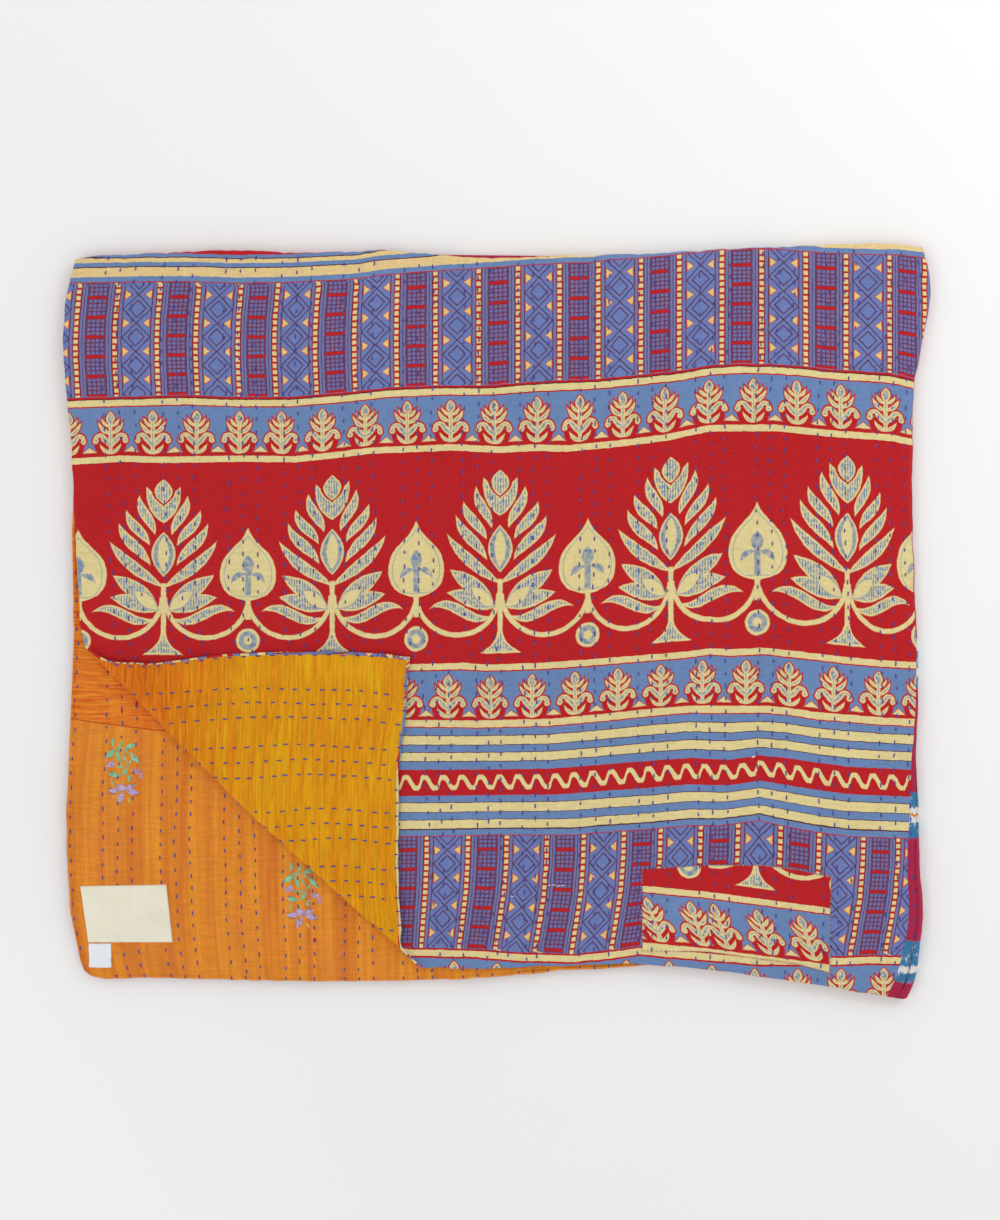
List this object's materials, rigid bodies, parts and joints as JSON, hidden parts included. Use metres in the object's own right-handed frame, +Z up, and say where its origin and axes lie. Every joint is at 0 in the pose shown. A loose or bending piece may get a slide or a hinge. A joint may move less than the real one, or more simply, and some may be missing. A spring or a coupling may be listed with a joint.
{
  "type": "folded quilt",
  "caption": "Hand-stitched kantha quilt folded flat, with a corner of its top layer turned back to show its plain backing.",
  "frame": {"origin": "middle of the outline, on the surface that the folded quilt rests on", "axes": "+X along the longer side of the folded quilt towards its side fold, +Y towards its top fold, +Z up through the layers"},
  "size_m": [0.7792, 0.6784, 0.0207],
  "materials": {
    "quilted_cotton": "worn matt printed cotton, running stitched",
    "patch_cotton": "worn matt printed cotton",
    "label_cotton": "matt woven cotton tape",
    "tag_satin": "soft satin ribbon"
  },
  "bodies": {
    "root": {"quilt": "quilted_cotton", "print_patch": "patch_cotton", "label": "label_cotton", "care_tag": "tag_satin"}
  },
  "joints": []
}
